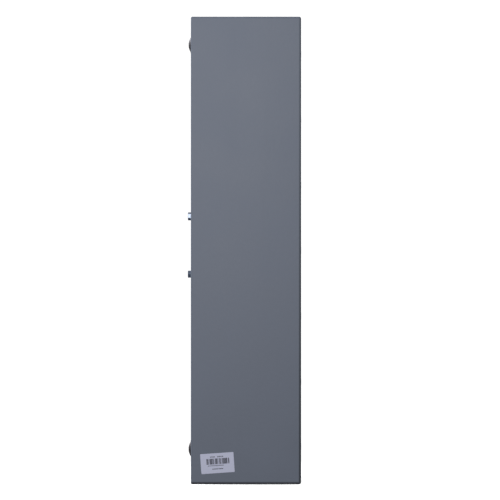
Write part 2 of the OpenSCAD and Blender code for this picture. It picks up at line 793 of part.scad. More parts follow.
module barcode_label() {
    w = 29.8;
    h = 17.8;
    color("#a9abb8") translate([hw, -74.65, -hh + 18.9]) rotate([3.95, 0, 0])
        translate([0, -w / 2, -h / 2]) cube([0.12, w, h]);
}

back_wall();
mirror([1, 0, 0]) side_wall();  // left_side_wall
side_wall();  // right_side_wall
end_wall();  // top_end_wall
mirror([0, 0, 1]) end_wall();  // bottom_end_wall
trim_brackets();
interior_pan();
mounting_screws();
bus_insulator();
line_bus(-1, 0);  // line_bus_a
line_bus(1, 1);  // line_bus_b
bus_screws();
mirror([1, 0, 0]) breaker_rail();  // breaker_rail_left
breaker_rail();  // breaker_rail_right
mirror([1, 0, 0]) neutral_bar();  // neutral_bar_left
neutral_bar();  // neutral_bar_right
neutral_strap();
bar_screws();
neutral_lug();
lug_set_screws();
neutral_standoffs();
ground_bar();
bonding_screw();
main_case();
main_line_lugs();
main_load_straps();
main_handle();
branch_terminals();
branch_terminal_screws();
branch_jaws();
contact_arms();
branch_bimetals();
branch_arc_chutes();
for (n = [1:singles + 1]) {
    breaker_case(n);
    breaker_handle(n);
}
trim_cover();
deadfront();
deadfront_screws();
cover_screws();
latch_keeper();
keeper_screws();
door_bumpers();
door_panel();
hinge_pins();
latch_housing();
latch_slide();
directory_card();
barcode_label();
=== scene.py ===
import json
import math
import random

import bmesh
import bpy
from mathutils import Matrix, Vector

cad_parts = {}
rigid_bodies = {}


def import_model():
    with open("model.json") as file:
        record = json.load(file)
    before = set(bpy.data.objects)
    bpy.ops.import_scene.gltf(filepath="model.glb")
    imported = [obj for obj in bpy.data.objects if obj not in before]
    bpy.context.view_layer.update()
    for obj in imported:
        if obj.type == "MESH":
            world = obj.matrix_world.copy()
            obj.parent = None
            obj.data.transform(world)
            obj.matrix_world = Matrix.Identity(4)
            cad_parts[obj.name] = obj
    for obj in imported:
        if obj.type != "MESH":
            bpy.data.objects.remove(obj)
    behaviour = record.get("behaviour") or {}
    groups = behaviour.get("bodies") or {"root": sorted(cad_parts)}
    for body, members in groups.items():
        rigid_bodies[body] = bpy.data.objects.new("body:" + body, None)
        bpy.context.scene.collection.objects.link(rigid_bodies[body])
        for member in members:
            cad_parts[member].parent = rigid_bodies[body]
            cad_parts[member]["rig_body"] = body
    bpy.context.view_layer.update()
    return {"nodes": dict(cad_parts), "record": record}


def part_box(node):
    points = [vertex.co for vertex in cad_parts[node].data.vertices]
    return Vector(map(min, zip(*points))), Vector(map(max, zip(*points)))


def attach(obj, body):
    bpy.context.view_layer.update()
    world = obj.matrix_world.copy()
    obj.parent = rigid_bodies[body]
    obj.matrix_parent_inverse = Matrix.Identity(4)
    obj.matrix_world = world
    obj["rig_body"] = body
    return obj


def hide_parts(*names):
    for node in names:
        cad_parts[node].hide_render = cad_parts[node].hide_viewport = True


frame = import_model()
NODES = frame["nodes"]
MM = 0.001
LOW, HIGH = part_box("back_wall")
SIDE_LOW, SIDE_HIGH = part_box("right_side_wall")
FACE_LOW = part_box("trim_cover")[0]
SPACE_PITCH = 25.4 * MM
PRINT = 0.02 * MM

# ---------------------------------------------------------------- materials


class Shader:
    """A Principled material, with short ways to add nodes to it.

    Lengths in its textures are in metres.
    """

    def __init__(self, name):
        self.mat = bpy.data.materials.new(name)
        self.mat.use_nodes = True
        self.tree = self.mat.node_tree
        self.bsdf = self.tree.nodes["Principled BSDF"]
        self.coord = self.add("ShaderNodeTexCoord").outputs["Object"]

    def add(self, kind, **inputs):
        node = self.tree.nodes.new(kind)
        for key, value in inputs.items():
            self.put(node, key.replace("_", " "), value)
        return node

    def put(self, node, key, value):
        socket = node.inputs[key]
        if isinstance(value, bpy.types.NodeSocket):
            self.tree.links.new(value, socket)
        else:
            socket.default_value = value

    def set(self, **inputs):
        for key, value in inputs.items():
            self.put(self.bsdf, key.replace("_", " "), value)

    def stretch(self, scale):
        node = self.add("ShaderNodeMapping", Vector=self.coord, Scale=scale)
        return node.outputs["Vector"]

    def noise(self, size, detail=2.0, rough=0.5, scale=(1, 1, 1)):
        """Noise whose features are about size metres across."""
        vector = self.coord if scale == (1, 1, 1) else self.stretch(scale)
        node = self.add("ShaderNodeTexNoise", Vector=vector, Scale=1 / size, Detail=detail,
                        Roughness=rough)
        return node.outputs["Fac"]

    def cells(self, size):
        """Distance from the middle of the nearest of cells about size metres across."""
        node = self.add("ShaderNodeTexVoronoi", Vector=self.coord, Scale=1 / size)
        return node.outputs["Distance"]

    def ramp(self, fac, low, high, a=0.0, b=1.0):
        """Maps fac from [low, high] to [a, b], clamped."""
        node = self.add("ShaderNodeMapRange", Value=fac)
        for key, value in (("From Min", low), ("From Max", high), ("To Min", a), ("To Max", b)):
            node.inputs[key].default_value = value
        return node.outputs["Result"]

    def math(self, op, a, b=0.0):
        node = self.add("ShaderNodeMath")
        node.operation = op
        self.put(node, 0, a)
        self.put(node, 1, b)
        return node.outputs[0]

    def mix(self, fac, a, b):
        """The colour a where fac is 0 and b where it is 1."""
        factor, color_a, color_b, mixed = 0, 6, 7, 2
        node = self.tree.nodes.new("ShaderNodeMix")
        node.data_type = "RGBA"
        self.put(node, factor, fac)
        for index, value in ((color_a, a), (color_b, b)):
            linked = isinstance(value, bpy.types.NodeSocket)
            self.put(node, index, value if linked else (*value[:3], 1))
        return node.outputs[mixed]

    def edges(self, radius):
        """About 1 on sharp convex edges and 0 on flat faces."""
        bevel = self.add("ShaderNodeBevel", Radius=radius)
        bevel.samples = 4
        normal = self.add("ShaderNodeNewGeometry").outputs["Normal"]
        dot = self.add("ShaderNodeVectorMath")
        dot.operation = "DOT_PRODUCT"
        self.put(dot, 0, bevel.outputs["Normal"])
        self.put(dot, 1, normal)
        return self.ramp(dot.outputs["Value"], 0.995, 0.88)

    def bump(self, height, depth, strength):
        node = self.add("ShaderNodeBump", Height=height, Distance=depth, Strength=strength)
        return node.outputs["Normal"]


def painted_edge_shade(s):
    """How much painted shade darkens the back and bottom edges: most at the foot, little at the
    top.
    """
    xyz = s.add("ShaderNodeSeparateXYZ", Vector=s.coord).outputs
    start, full = 2.5 * MM, 1.5 * MM
    side = s.ramp(s.math("ABSOLUTE", xyz["X"]), SIDE_HIGH.x - start, SIDE_HIGH.x - full)
    back = s.ramp(xyz["Y"], HIGH.y - start, HIGH.y - full)
    foot = s.ramp(xyz["Z"], LOW.z + start, LOW.z + full)
    meets = s.math("MAXIMUM", s.math("MULTIPLY", side, back), s.math("MULTIPLY", side, foot))
    meets = s.math("MAXIMUM", meets, s.math("MULTIPLY", back, foot))
    at_top, at_foot = 0.15, 0.68
    return s.math("MULTIPLY", meets, s.ramp(xyz["Z"], HIGH.z, LOW.z, at_top, at_foot))


def painted(name, color, wear, shaded_edges=False):
    """Baked enamel on sheet steel: orange peel, faint streaks, rubbed edges and perhaps painted
    shade on the back and bottom edges.
    """
    s = Shader(name)
    peel, rough = 0.00012, 0.52
    blotch = s.noise(0.055, 4, 0.55)
    streak = s.noise(0.02, 3, 0.6, (1, 1, 0.06))
    speck = s.cells(0.0035)
    light = s.ramp(blotch, 0.3, 0.7)
    base = s.mix(light, [c * 0.965 for c in color], [c * 1.03 for c in color])
    base = s.mix(s.ramp(streak, 0.55, 0.75, 0.0, 0.10), base, [c * 0.84 for c in color])
    base = s.mix(s.ramp(speck, 0.10, 0.05, 0.0, 0.10), base, [c * 1.35 for c in color])
    rubbed = s.math("MULTIPLY", s.edges(0.0009), s.ramp(s.noise(0.006, 4, 0.7), 0.45, 0.72))
    base = s.mix(s.math("MULTIPLY", rubbed, wear), base, [min(1, c * 1.9) for c in color])
    # Painted shade: the back and bottom edges are darkened, more towards the foot
    if shaded_edges:
        base = s.mix(painted_edge_shade(s), base, [c * 0.08 for c in color])
    fine = s.noise(0.0011, 2, 0.5)
    coarse = s.noise(0.0034, 1, 0.4)
    peel_height = s.math("ADD", s.math("MULTIPLY", fine, 0.35), coarse)
    normal = s.bump(peel_height, peel, 0.55)
    s.set(Base_Color=base, Normal=normal, IOR=1.45, Coat_Weight=0.06, Coat_Roughness=0.4)
    uneven = s.math("ADD", blotch, s.math("MULTIPLY", fine, 0.4))
    s.set(Roughness=s.ramp(uneven, 0.3, 1.0, rough - 0.05, rough + 0.1))
    return s.mat


def plated(name, color, rough, grain=(1, 1, 1), tint=None):
    """Plated or bare metal: cloudy plating, fine drawn grain and handling marks."""
    s = Shader(name)
    cloud = s.noise(0.008, 4, 0.6)
    drawn = s.noise(0.0006, 3, 0.65, grain)
    cell = s.cells(0.0022)
    tint = tint or [c * 0.72 for c in color]
    base = s.mix(s.ramp(cloud, 0.35, 0.68), color, tint)
    base = s.mix(s.ramp(cell, 0.22, 0.05, 0.0, 0.25), base, [c * 0.45 for c in color])
    rim = s.math("MULTIPLY", s.edges(0.0004), s.ramp(s.noise(0.002, 3, 0.6), 0.35, 0.65))
    base = s.mix(s.math("MULTIPLY", rim, 0.5), base, [min(1, c * 1.3 + 0.05) for c in color])
    s.set(Base_Color=base, Metallic=1.0, Normal=s.bump(drawn, 0.00003, 0.5))
    uneven = s.math("ADD", cloud, s.math("MULTIPLY", drawn, 0.5))
    s.set(Roughness=s.ramp(uneven, 0.45, 1.05, rough, rough + 0.22))
    return s.mat


def moulded(name, color, rough, grain=0.0005, depth=0.00004):
    """Moulded plastic: spark-eroded grain, dust in the grain and a faint painted sheen on the
    edges.
    """
    s = Shader(name)
    cloud = s.noise(0.02, 3, 0.6)
    grit = s.noise(grain, 3, 0.7)
    base = s.mix(s.ramp(cloud, 0.35, 0.7), color, [c * 1.25 + 0.002 for c in color])
    base = s.mix(s.ramp(grit, 0.62, 0.8, 0.0, 0.25), base, [c * 2.2 + 0.01 for c in color])
    # Painted sheen: the colour is lighter on the edges
    base = s.mix(s.math("MULTIPLY", s.edges(0.0005), 0.35), base, [c * 2.6 + 0.012 for c in color])
    s.set(Base_Color=base, IOR=1.5, Normal=s.bump(grit, depth, 0.6))
    s.set(Roughness=s.ramp(s.math("ADD", cloud, grit), 0.7, 1.3, rough - 0.08, rough + 0.12))
    return s.mat


def card(name, color, rough=0.75):
    """Paper or printed film: fibres and a soft surface."""
    s = Shader(name)
    fibre = s.noise(0.0009, 5, 0.7, (1, 1, 3))
    stain = s.noise(0.03, 3, 0.5)
    base = s.mix(s.ramp(fibre, 0.4, 0.7), color, [c * 0.93 for c in color])
    yellowed = [c * fade for c, fade in zip(color, (0.9, 0.86, 0.76))]
    base = s.mix(s.ramp(stain, 0.5, 0.8, 0.0, 0.12), base, yellowed)
    s.set(Base_Color=base, Normal=s.bump(fibre, 0.00003, 0.4), Sheen_Weight=0.05)
    s.set(Roughness=s.ramp(fibre, 0.3, 0.8, rough - 0.06, rough + 0.08))
    return s.mat


def ink(name, color):
    """Printed marks, slightly uneven."""
    s = Shader(name)
    rough = 0.5
    patch = s.noise(0.0008, 3, 0.7)
    s.set(Base_Color=s.mix(s.ramp(patch, 0.35, 0.75), color, [c * 0.8 + 0.02 for c in color]))
    s.set(Roughness=s.ramp(patch, 0.3, 0.8, rough - 0.05, rough + 0.1))
    return s.mat


GREY_PAINT = (0.146, 0.168, 0.219)
MATERIALS = {
    # The box enamel carries painted shade on its back and bottom edges
    "box_paint": painted("box_enamel", GREY_PAINT, wear=0.15, shaded_edges=True),
    "cover_paint": painted("cover_enamel", GREY_PAINT, wear=0.5),
    "dark_steel": plated("dark_screw_steel", (0.022, 0.019, 0.024), 0.45,
                         tint=(0.016, 0.012, 0.014)),
    "zinc_steel": plated("zinc_plate", (0.52, 0.56, 0.62), 0.27, (1, 1, 0.15),
                         tint=(0.50, 0.50, 0.50)),
    "keeper_zinc": plated("keeper_zinc", (0.36, 0.43, 0.54), 0.17, tint=(0.22, 0.23, 0.28)),
    "bar_aluminium": plated("tinned_aluminium", (0.74, 0.75, 0.76), 0.33, (1, 1, 0.05)),
    "bus_copper": plated("bus_copper", (0.72, 0.40, 0.25), 0.3, (1, 1, 0.05),
                         tint=(0.48, 0.23, 0.14)),
    "trip_metal": plated("trip_metal", (0.45, 0.38, 0.28), 0.35),
    "green_screw": plated("green_plate", (0.03, 0.30, 0.10), 0.35),
    "breaker_black": moulded("breaker_case", (0.020, 0.021, 0.023), 0.48),
    "handle_black": moulded("breaker_handle", (0.013, 0.013, 0.014), 0.34, 0.0003, 0.00002),
    "insulator": moulded("insulator", (0.050, 0.040, 0.034), 0.52),
    "latch_plastic": moulded("latch_plastic", (0.024, 0.026, 0.029), 0.45),
    "bumper_rubber": moulded("bumper_rubber", (0.018, 0.018, 0.018), 0.75, 0.0008),
    "card_paper": card("directory_card_paper", (0.80, 0.77, 0.68)),
    "label_film": card("label_film", (0.565, 0.585, 0.755), 0.5),
}
WHITE_INK = ink("white_ink", (0.75, 0.75, 0.72))
DARK_INK = ink("dark_ink", (0.025, 0.025, 0.035))
LABEL_INK = ink("label_ink", (0.03, 0.032, 0.06))
SLOT_OF = {row["node"]: row["material_slot"] for row in frame["record"]["subparts"]}

# ---------------------------------------------------------------- mesh tools

# Where a surface faces: its local X, seen from outside, and the way out of it
FRONT = ((1, 0, 0), (0, -1, 0))
BACK = ((-1, 0, 0), (0, 1, 0))
SIDE = ((0, 1, 0), (1, 0, 0))
TOP = ((1, 0, 0), (0, 0, 1))
BOTTOM = ((1, 0, 0), (0, 0, -1))


def place(origin, facing, turn=0.0):
    """Frame on a surface: local X right, local Y up, local Z out; turn is about local Z."""
    right, out = Vector(facing[0]), Vector(facing[1])
    axes = Matrix((right, out.cross(right), out)).transposed().to_4x4()
    return Matrix.Translation(origin) @ axes @ Matrix.Rotation(math.radians(turn), 4, "Z")


def rounded(width, height, radius, steps=5):
    """Outline of a rectangle with round corners, about the origin."""
    points = []
    for k, (sx, sy) in enumerate(((1, 1), (-1, 1), (-1, -1), (1, -1))):
        for i in range(steps + 1):
            angle = math.radians(90 * k + 90 * i / steps)
            points.append((sx * (width / 2 - radius) + radius * math.cos(angle),
                           sy * (height / 2 - radius) + radius * math.sin(angle)))
    return points


def circle(turns, radii, heights):
    """The ring of points at the given turns, radii and heights about local Z."""
    return [(r * math.cos(a), r * math.sin(a), z) for a, r, z in zip(turns, radii, heights)]


def joined(node):
    """The mesh of a CAD node with its triangles joined up into whole faces."""
    bm = bmesh.new()
    bm.from_mesh(NODES[node].data)
    bmesh.ops.remove_doubles(bm, verts=bm.verts, dist=0.000002)
    bmesh.ops.dissolve_limit(bm, angle_limit=math.radians(0.5), verts=bm.verts, edges=bm.edges)
    return bm


def loose_boxes(bm):
    """The lowest and highest corners of each loose part."""
    left, boxes = set(bm.verts), []
    while left:
        first = left.pop()
        part, todo = [first], [first]
        while todo:
            for edge in todo.pop().link_edges:
                for vert in edge.verts:
                    if vert in left:
                        left.remove(vert)
                        part.append(vert)
                        todo.append(vert)
        boxes.append([Vector([pick(v.co[i] for v in part) for i in range(3)])
                      for pick in (min, max)])
    return sorted(boxes, key=lambda box: tuple(round(c, 6) for c in box[0]))


class Solid:
    """Gathers the closed solids of one piece; each takes the frame that it stands in."""

    def __init__(self, bm=None):
        self.bm = bm or bmesh.new()

    def rings(self, at, rings):
        """Skin over closed rings of (x, y, z) points, capped at both ends."""
        made = [[self.bm.verts.new(at @ Vector(p)) for p in ring] for ring in rings]
        for a, b in zip(made, made[1:]):
            for i in range(len(a)):
                j = (i + 1) % len(a)
                self.bm.faces.new((a[i], a[j], b[j], b[i]))
        self.bm.faces.new(reversed(made[0]))
        self.bm.faces.new(made[-1])

    def prism(self, at, outline, low, high):
        self.rings(at, [[(x, y, z) for x, y in outline] for z in (low, high)])

    def bar(self, at, x, y, low, high):
        self.prism(at, ((x[0], y[0]), (x[1], y[0]), (x[1], y[1]), (x[0], y[1])), low, high)

    def lathe(self, at, profile, steps=32):
        """Turned solid about local Z; the profile is (radius, height) from its low end up."""
        turns = [math.tau * i / steps for i in range(steps)]
        self.rings(at, [circle(turns, [r] * steps, [z] * steps) for r, z in profile])

    def words(self, at, text, size, low, high):
        """Raised or printed generic numerals and marks, centred."""
        curve = bpy.data.curves.new("words", "FONT")
        curve.body = text
        curve.size = size
        curve.align_x = curve.align_y = "CENTER"
        curve.extrude = (high - low) / 2
        curve.resolution_u = 4
        holder = bpy.data.objects.new("words", curve)
        mesh = bpy.data.meshes.new_from_object(holder)
        mesh.transform(at @ Matrix.Translation((0, 0, (low + high) / 2)))
        self.bm.from_mesh(mesh)
        bpy.data.objects.remove(holder)
        bpy.data.curves.remove(curve)
        bpy.data.meshes.remove(mesh)

    def thread(self, at, radius, pitch, length, steps=16):
        """Threaded shaft from the origin down local Z, one closed helical solid."""
        depth = 0.3 * pitch
        into_head = 0.0002
        rows = 2 * int((length - radius / 2) / pitch) - 2

        def point(k, j):
            r = radius - (0 if j % 2 else depth)
            angle = math.tau * k / steps
            height = -pitch * (j / 2 + k / steps) + into_head
            return at @ Vector((r * math.cos(angle), r * math.sin(angle), height))

        columns = [[self.bm.verts.new(point(k, j)) for j in range(rows + (3 if k == 0 else 1))]
                   for k in range(steps)]
        for k in range(steps):
            after = columns[(k + 1) % steps][2 if k == steps - 1 else 0:]
            for j in range(rows):
                self.bm.faces.new((columns[k][j], columns[k][j + 1], after[j + 1], after[j]))
        first = columns[0]
        top = [c[0] for c in columns] + [first[2], first[1]]
        bottom = [c[rows] for c in columns] + [first[rows + 2], first[rows + 1]]
        for loop, height in ((top, into_head), (bottom, -length)):
            middle = self.bm.verts.new(at @ Vector((0, 0, height)))
            for i, vert in enumerate(loop):
                self.bm.faces.new((vert, loop[(i + 1) % len(loop)], middle))

    def hexagon(self, at, flat, low, high, steps=48):
        """Hexagon head: chamfered corners and a shallow dish in its top."""
        crown = 0.46 * flat
        turns = [math.tau * i / steps for i in range(steps)]
        wide = [flat / 2 / math.cos((a + math.pi / 6) % (math.pi / 3) - math.pi / 6) for a in turns]
        shoulder = [high - 0.5 * (w - crown) for w in wide]
        dish = ((crown, high), (0.72 * crown, high), (0.6 * crown, high - 0.06 * flat),
                (0.1 * crown, high - 0.07 * flat))
        sides = [circle(turns, wide, [low] * steps), circle(turns, wide, shoulder)]
        self.rings(at, sides + [circle(turns, [r] * steps, [z] * steps) for r, z in dish])

    def mesh(self, name):
        bmesh.ops.recalc_face_normals(self.bm, faces=self.bm.faces)
        mesh = bpy.data.meshes.new(name)
        self.bm.to_mesh(mesh)
        self.bm.free()
        return mesh


# ---------------------------------------------------------------- pieces


def piece(name, mesh, body, slot, material=None):
    """A new object at the origin that rides on body."""
    obj = bpy.data.objects.new(name, mesh)
    bpy.context.scene.collection.objects.link(obj)
    mesh.materials.clear()
    mesh.materials.append(material or MATERIALS[slot])
    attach(obj, body)
    return obj


def finish_mesh(obj, width, angle=30):
    """Rounds the sharp edges of obj by width and smooths what is left."""
    obj.data.shade_smooth()
    obj.data.set_sharp_from_angle(angle=math.radians(angle))
    if width:
        bevel = obj.modifiers.new("edges", "BEVEL")
        bevel.width = width
        bevel.segments = 2
        bevel.limit_method = "ANGLE"
        bevel.angle_limit = math.radians(angle)
        bevel.harden_normals = True
    return obj


def soften(node, width):
    """Stands for a CAD node: the same solid with its faces joined up and its edges rounded."""
    bm = joined(node)
    mesh = bpy.data.meshes.new(node + "_rounded")
    bm.to_mesh(mesh)
    bm.free()
    return finish_mesh(stand_for(node, node + "_rounded", mesh), width)


def stand_for(node, name, mesh):
    """A new piece that replaces a CAD node and takes its body and its slot."""
    obj = piece(name, mesh, NODES[node]["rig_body"], SLOT_OF[node])
    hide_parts(node)
    return obj


def threaded(node, head, shaft, pitch, flat=0.0, washer=0.0, washer_t=0.0, turns=(0,)):
    """Screws that stand for a CAD node: threaded shafts under its own heads or under hexagons."""
    bm = joined(node)
    boxes = loose_boxes(bm)
    if flat:
        bm.clear()
    else:
        cut = boxes[0][0].y + head + 0.05 * MM
        bmesh.ops.bisect_plane(bm, geom=bm.verts[:] + bm.edges[:] + bm.faces[:],
                               plane_co=(0, cut, 0), plane_no=(0, 1, 0), clear_outer=True)
        bmesh.ops.holes_fill(bm, edges=[e for e in bm.edges if e.is_boundary], sides=0)
        sharp = [e for e in bm.edges
                 if len(e.link_faces) == 2 and e.calc_face_angle(0) > math.radians(35)]
        bmesh.ops.bevel(bm, geom=sharp, offset=0.1 * MM, segments=2, affect="EDGES",
                        profile=0.5, clamp_overlap=True)
    screws = Solid(bm)
    for k, (low, high) in enumerate(boxes):
        seat = low.y + head
        at = place(((low.x + high.x) / 2, seat, (low.z + high.z) / 2), FRONT, turns[k % len(turns)])
        screws.thread(at, shaft, pitch, high.y - seat)
        if flat:
            screws.hexagon(at, flat, 0.3 * washer_t, head)
        if washer:
            screws.lathe(at, ((washer - 0.2 * MM, 0), (washer, 0.25 * washer_t),
                              (washer, 0.6 * washer_t), (washer - 0.4 * MM, washer_t),
                              (flat / 2, 1.3 * washer_t)), 40)
    name = node + "_threaded"
    return finish_mesh(stand_for(node, name, screws.mesh(name)), 0)


# Width of the rounded edges in millimetres, by material slot
EDGE = {"box_paint": 0.2, "cover_paint": 0.2, "breaker_black": 0.35, "handle_black": 0.4,
        "insulator": 0.3, "latch_plastic": 0.25, "bar_aluminium": 0.3, "bus_copper": 0.15}
OTHER_EDGE = 0.12
REMADE = {"barcode_label", "directory_card", "keeper_screws", "cover_screws",
          "deadfront_screws", "mounting_screws"}
for node_name in sorted(set(NODES) - REMADE):
    soften(node_name, EDGE.get(SLOT_OF[node_name], OTHER_EDGE) * MM)

threaded("cover_screws", head=3.1 * MM, shaft=1.6 * MM, pitch=0.8 * MM)
threaded("deadfront_screws", head=1.8 * MM, shaft=1.4 * MM, pitch=0.6 * MM)
threaded("mounting_screws", head=2.5 * MM, shaft=2.0 * MM, pitch=0.8 * MM, flat=7 * MM,
         washer=4.6 * MM, washer_t=0.7 * MM)
keeper_pair = threaded("keeper_screws", head=4.05 * MM, shaft=1.9 * MM, pitch=0.8 * MM,
                       flat=6.35 * MM, washer=4.2 * MM, washer_t=0.8 * MM, turns=(30, 8))
keeper_pair.data.materials[0] = MATERIALS["keeper_zinc"]

# ---------------------------------------------------------------- labels and marks


def middle(node):
    low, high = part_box(node)
    return (low + high) / 2


def barcode_label():
    """Film label on the right wall, a little askew: a generic bar code and unreadable print."""
    wide, tall, thick, askew = 29.8 * MM, 17.8 * MM, 0.12 * MM, 3.95
    centre = middle("barcode_label")
    at = place((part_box("barcode_label")[0].x, centre.y, centre.z), SIDE, askew)
    film = Solid()
    film.prism(at, rounded(wide, tall, 0.6 * MM), 0, thick)
    name = "barcode_label_film"
    finish_mesh(stand_for("barcode_label", name, film.mesh(name)), 0.03 * MM)
    prints = Solid()
    skin = (thick, thick + PRINT)
    rng = random.Random(7)
    module = 0.213 * MM
    x, code_end, code_height = -9.6 * MM, 10.2 * MM, (-0.9 * MM, 4.2 * MM)
    while x < code_end:
        bar = rng.choice((1, 2, 3, 3, 4)) * module
        prints.bar(at, (x, x + bar), code_height, *skin)
        x += bar + rng.choice((1, 1, 1, 1, 3)) * module
    # Height, size of letters and runs of each line, in millimetres from the label's middle
    lines = ((5.7, 1.0, ((-6.2, -1.8), (0.3, 5.6))), (-2.1, 0.7, ((-8.6, 5.8),)),
             (-5.1, 0.9, ((-4.9, 5.0),)))
    for height, size, runs in lines:
        rows = ((height - size / 2) * MM, (height + size / 2) * MM)
        for start, stop in runs:
            x = start
            while x < stop:
                glyph = rng.uniform(0.35, 0.75) * size
                prints.bar(at, (x * MM, (x + glyph) * MM), rows, *skin)
                x += glyph + rng.uniform(0.2, 0.45) * size
    piece("barcode_label_print", prints.mesh("barcode_label_print"),
          NODES["barcode_label"]["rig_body"], "label_film", LABEL_INK)


def directory_card():
    """Circuit directory on the inside of the door: two numbered columns of ruled lines."""
    low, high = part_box("directory_card")
    centre = middle("directory_card")
    at = place((centre.x, low.y, centre.z), BACK)
    wide, tall, thick = high.x - low.x, high.z - low.z, high.y - low.y
    sheet = Solid()
    sheet.prism(at, rounded(wide, tall, 2 * MM), 0, thick)
    name = "directory_card_sheet"
    finish_mesh(stand_for("directory_card", name, sheet.mesh(name)), 0.05 * MM)
    prints = Solid()
    skin = (thick, thick + PRINT)
    line, blank_line = 0.35 * MM, 0.2 * MM
    edge, head, rows = 6 * MM, 16 * MM, 6
    numbers, blank, blank_start, digits = 12 * MM, 28 * MM, 16 * MM, 7 * MM
    left, right = -wide / 2 + edge, wide / 2 - edge
    top, bottom = tall / 2 - edge, -tall / 2 + edge
    step = (top - head - bottom) / rows
    for k in range(rows + 1):
        y = bottom + k * step
        prints.bar(at, (left, right), (y - line / 2, y + line / 2), *skin)
    prints.bar(at, (left, right), (top - line, top), *skin)
    for x in (left, left + numbers, 0, numbers, right):
        reach = top if x in (left, right) else top - head
        prints.bar(at, (x - line / 2, x + line / 2), (bottom, reach), *skin)
    for k in range(rows):
        y = bottom + (rows - k - 0.5) * step
        for column, x in enumerate((left + numbers / 2, numbers / 2)):
            number_at = at @ Matrix.Translation((x, y, 0))
            prints.words(number_at, str(2 * k + column + 1), digits, *skin)
        for x in (left + blank_start, blank_start):
            y_line = y - step / 5
            prints.bar(at, (x, x + blank), (y_line, y_line + blank_line), *skin)
    for k, share in enumerate((0.55, 0.8)):
        y = top - (5 + 5 * k) * MM
        prints.bar(at, (-share * right, share * right), (y - (1 - 0.5 * k) * MM, y), *skin)
    piece("directory_card_print", prints.mesh("directory_card_print"),
          NODES["directory_card"]["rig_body"], "card_paper", DARK_INK)


RATINGS = {1: "20", 2: "20", 3: "15", 4: "15", 5: "20", 6: "15", 7: "30"}
PIVOT = {joint["child"]: Vector(joint["pos_m"])
         for joint in frame["record"]["behaviour"]["joints"]
         if joint["child"].endswith("_toggle")}


def breaker_marks():
    """On and off marks and the rating in amperes on every breaker's nose."""
    skin = (0, 0.05 * MM)
    prints = Solid()
    # Text, place across, place up and size of each mark, in millimetres
    inner, outer = 29, 53
    for n, rating in RATINGS.items():
        low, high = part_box(f"breaker_{n}_case")
        side = 1 if low.x > 0 else -1
        for text, x, up, size in (("I", inner, 5, 4.5), ("O", outer, 5, 4.5),
                                  (rating, outer, -4.5, 5.5)):
            at = place((side * x * MM, low.y, (low.z + high.z) / 2 + up * MM), FRONT)
            prints.words(at, text, size * MM, *skin)
    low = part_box("main_case")[0]
    for text, up, size in (("I", 14, 8), ("O", -13, 8), ("100", -20, 6)):
        at = place((0, low.y, PIVOT["main_toggle"].z + up * MM), FRONT)
        prints.words(at, text, size * MM, *skin)
    piece("breaker_marks", prints.mesh("breaker_marks"), "box", "breaker_black", WHITE_INK)


def lever_grips():
    """Fine ribs on both flanks of every handle, across its lever."""
    tilt, half_thick = math.radians(18), 2.5 * MM
    reaches = (8.6, 9.8, 11.0)
    rib_wide, rib_round, sunk, proud = 0.5 * MM, 0.2 * MM, -0.2 * MM, 0.22 * MM
    for body, pivot in sorted(PIVOT.items()):
        main = body == "main_toggle"
        half = (12.5 if main else 4.2) * MM
        side = 1 if pivot.x > 0 else -1
        if main:
            along, axis = Vector((0, -math.cos(tilt), math.sin(tilt))), Vector((1, 0, 0))
        else:
            along = Vector((-side * math.sin(tilt), -math.cos(tilt), 0))
            axis = Vector((0, 0, 1))
        levers = [pivot]
        if body == "breaker_7_toggle":
            levers.append(pivot - Vector((0, 0, SPACE_PITCH)))
        ribs = Solid()
        for lever in levers:
            for flank in (axis.cross(along), along.cross(axis)):
                for reach in reaches:
                    at = place(lever + along * reach * MM + flank * half_thick, (axis, flank))
                    ribs.prism(at, rounded(2 * half, rib_wide, rib_round, 3), sunk, proud)
        grips = piece(body.replace("toggle", "grips"), ribs.mesh(body + "_grips"), body,
                      "handle_black")
        finish_mesh(grips, 0.06 * MM)


def circuit_numbers():
    """Numbers 1 to 12 on the dead front, beside the breaker spaces."""
    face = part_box("deadfront")[0].y
    rows, aside, digits = 6, 68 * MM, 7 * MM
    first = middle("breaker_1_case").z
    prints = Solid()
    for k in range(rows):
        for column, side in enumerate((-1, 1)):
            at = place((side * aside, face, first - k * SPACE_PITCH), FRONT)
            prints.words(at, str(2 * k + column + 1), digits, 0, 0.05 * MM)
    piece("circuit_numbers", prints.mesh("circuit_numbers"), "cover", "cover_paint", WHITE_INK)


def spot_welds():
    """Rings that welding tips left where the side walls' flanges meet the back and the ends."""
    up_shares = [0.08 + 0.14 * k for k in range(7)]
    deep_shares = (0.22, 0.5, 0.78)
    across_shares = [0.14 + 0.18 * k for k in range(5)]
    welds = Solid()
    # Radius and height of the ring's section, in millimetres
    ring = ((3.3, -0.05), (3.2, 0.03), (2.9, 0.1), (2.55, 0.1), (2.2, 0.02), (0.2, 0.05))
    profile = [(r * MM, z * MM) for r, z in ring]
    inset = 8 * MM
    for side in (-1, 1):
        x = side * (SIDE_HIGH.x - inset)
        for share in up_shares:
            z = LOW.z + (HIGH.z - LOW.z) * share
            welds.lathe(place((x, HIGH.y, z), BACK), profile)
        for share in deep_shares:
            y = SIDE_LOW.y + (HIGH.y - SIDE_LOW.y) * share
            welds.lathe(place((x, y, HIGH.z), TOP), profile)
            welds.lathe(place((x, y, LOW.z), BOTTOM), profile)
    for share in across_shares:
        x = LOW.x + (HIGH.x - LOW.x) * share
        for z in (LOW.z + inset, HIGH.z - inset):
            welds.lathe(place((x, HIGH.y, z), BACK), profile)
    finish_mesh(piece("spot_welds", welds.mesh("spot_welds"), "box", "box_paint"), 0, 60)


barcode_label()
directory_card()
breaker_marks()
lever_grips()
circuit_numbers()
spot_welds()

# ---------------------------------------------------------------- stage, lights and camera


